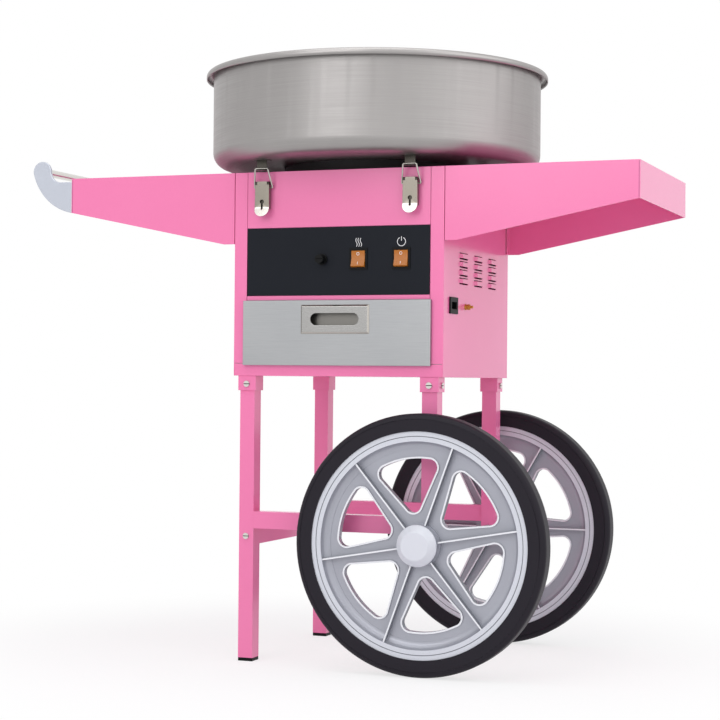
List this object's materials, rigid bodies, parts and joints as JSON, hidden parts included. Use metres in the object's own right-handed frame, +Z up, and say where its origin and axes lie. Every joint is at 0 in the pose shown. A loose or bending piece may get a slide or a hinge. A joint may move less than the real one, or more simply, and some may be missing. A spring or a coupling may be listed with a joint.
{
  "type": "cotton candy cart",
  "caption": "Pink cabinet on legs and two spoked wheels with a round spinning bowl on top, side shelves, a push handle, a drawer and rocker switches.",
  "frame": {"origin": "middle of the cart's footprint box, on the floor", "axes": "+X along the cart away from the handle, +Y from the control panel to the back, +Z up"},
  "size_m": [0.951, 0.52, 0.88],
  "materials": {
    "pink_paint": "gloss powder coat",
    "control_panel": "satin film overlay",
    "black_plastic": "fine grained",
    "amber_rocker": "translucent amber",
    "brass": "machined",
    "seat_rubber": "matte",
    "brushed_stainless": "brushed",
    "tyre_rubber": "satin black",
    "wheel_grey": "silver grey moulding",
    "cast_grey": "silver grey casting",
    "bright_nickel": "bright nickel plate",
    "motor_case": "satin",
    "brush_resin": "moulded resin",
    "spun_aluminium": "turned",
    "heater_alloy": "heat darkened",
    "zinc_steel": "zinc plated"
  },
  "bodies": {
    "cart": {"side_panel_left": "pink_paint", "side_panel_right": "pink_paint", "front_panel": "pink_paint", "back_panel": "pink_paint", "top_plate": "pink_paint", "base_pan": "pink_paint", "control_panel": "control_panel", "switch_bezels": "black_plastic", "fuse_holder": "black_plastic", "power_inlet": "black_plastic", "bonding_stud": "brass", "drawer_runners": "zinc_steel", "bowl_seat": "seat_rubber", "bowl": "brushed_stainless", "bowl_keepers": "bright_nickel", "latch_bases": "bright_nickel", "motor": "motor_case", "motor_mount": "zinc_steel", "brush_holder": "brush_resin", "shelf_left": "pink_paint", "shelf_right": "pink_paint", "handle_brackets": "cast_grey", "handle_bar": "bright_nickel", "left_legs": "pink_paint", "right_legs": "pink_paint", "leg_sockets": "pink_paint", "foot_caps": "black_plastic", "brace_front": "pink_paint", "brace_rear": "pink_paint", "brace_left": "pink_paint", "frame_screws": "bright_nickel", "axle": "zinc_steel", "axle_spacers": "zinc_steel", "axle_nuts": "zinc_steel"},
    "drawer": {"drawer_front": "brushed_stainless", "drawer_tray": "brushed_stainless", "drawer_pull": "brushed_stainless"},
    "front_wheel_body": {"front_wheel": "wheel_grey", "front_tyre": "tyre_rubber", "front_hub_cap": "wheel_grey"},
    "rear_wheel_body": {"rear_wheel": "wheel_grey", "rear_tyre": "tyre_rubber", "rear_hub_cap": "wheel_grey"},
    "spinner": {"spinner_shaft": "zinc_steel", "slip_rings": "brass", "spinner_base": "spun_aluminium", "heater_band": "heater_alloy", "spinner_screen": "spun_aluminium", "spinner_cap": "spun_aluminium"},
    "heat_rocker": {"heat_rocker": "amber_rocker"},
    "power_rocker": {"power_rocker": "amber_rocker"},
    "fuse_cap": {"fuse_cap": "black_plastic"},
    "lever_front_left": {"lever_front_left": "bright_nickel"},
    "bail_front_left": {"bail_front_left": "bright_nickel"},
    "lever_front_right": {"lever_front_right": "bright_nickel"},
    "bail_front_right": {"bail_front_right": "bright_nickel"},
    "lever_rear_left": {"lever_rear_left": "bright_nickel"},
    "bail_rear_left": {"bail_rear_left": "bright_nickel"},
    "lever_rear_right": {"lever_rear_right": "bright_nickel"},
    "bail_rear_right": {"bail_rear_right": "bright_nickel"}
  },
  "joints": [
    {"name": "drawer_slide", "type": "slide", "parent": "cart", "child": "drawer", "axis": [0, -1, 0], "range_m": [0, 0.24]},
    {"name": "front_wheel_spin", "type": "hinge", "parent": "cart", "child": "front_wheel_body", "pos_m": [0.1735, -0.19, 0.185], "axis": [0, 1, 0], "continuous": true},
    {"name": "rear_wheel_spin", "type": "hinge", "parent": "cart", "child": "rear_wheel_body", "pos_m": [0.1735, 0.19, 0.185], "axis": [0, 1, 0], "continuous": true},
    {"name": "spinner_spin", "type": "hinge", "parent": "cart", "child": "spinner", "pos_m": [0.0315, 0, 0.79], "axis": [0, 0, 1], "continuous": true},
    {"name": "heat_switch", "type": "hinge", "parent": "cart", "child": "heat_rocker", "pos_m": [0.0649, -0.161, 0.5908], "axis": [1, 0, 0], "range_deg": [0, 16]},
    {"name": "power_switch", "type": "hinge", "parent": "cart", "child": "power_rocker", "pos_m": [0.1304, -0.161, 0.5908], "axis": [1, 0, 0], "range_deg": [0, 16]},
    {"name": "fuse_cap_turn", "type": "hinge", "parent": "cart", "child": "fuse_cap", "pos_m": [0.0085, -0.161, 0.5908], "axis": [0, -1, 0], "range_deg": [-90, 0]},
    {"name": "front_left_lever_swing", "type": "hinge", "parent": "cart", "child": "lever_front_left", "pos_m": [-0.0835, -0.167, 0.703], "axis": [-1, 0, 0], "range_deg": [0, 110]},
    {"name": "front_left_bail_swing", "type": "hinge", "parent": "lever_front_left", "child": "bail_front_left", "pos_m": [-0.0835, -0.166, 0.697], "axis": [-1, 0, 0], "range_deg": [-110, 0]},
    {"name": "front_right_lever_swing", "type": "hinge", "parent": "cart", "child": "lever_front_right", "pos_m": [0.1465, -0.167, 0.703], "axis": [-1, 0, 0], "range_deg": [0, 110]},
    {"name": "front_right_bail_swing", "type": "hinge", "parent": "lever_front_right", "child": "bail_front_right", "pos_m": [0.1465, -0.166, 0.697], "axis": [-1, 0, 0], "range_deg": [-110, 0]},
    {"name": "rear_left_lever_swing", "type": "hinge", "parent": "cart", "child": "lever_rear_left", "pos_m": [-0.0835, 0.167, 0.703], "axis": [1, 0, 0], "range_deg": [0, 110]},
    {"name": "rear_left_bail_swing", "type": "hinge", "parent": "lever_rear_left", "child": "bail_rear_left", "pos_m": [-0.0835, 0.166, 0.697], "axis": [1, 0, 0], "range_deg": [-110, 0]},
    {"name": "rear_right_lever_swing", "type": "hinge", "parent": "cart", "child": "lever_rear_right", "pos_m": [0.1465, 0.167, 0.703], "axis": [1, 0, 0], "range_deg": [0, 110]},
    {"name": "rear_right_bail_swing", "type": "hinge", "parent": "lever_rear_right", "child": "bail_rear_right", "pos_m": [0.1465, 0.166, 0.697], "axis": [1, 0, 0], "range_deg": [-110, 0]}
  ],
  "couplings": [
    {"joint": "front_left_bail_swing", "follows": "front_left_lever_swing", "ratio": -1},
    {"joint": "front_right_bail_swing", "follows": "front_right_lever_swing", "ratio": -1},
    {"joint": "rear_left_bail_swing", "follows": "rear_left_lever_swing", "ratio": -1},
    {"joint": "rear_right_bail_swing", "follows": "rear_right_lever_swing", "ratio": -1}
  ]
}
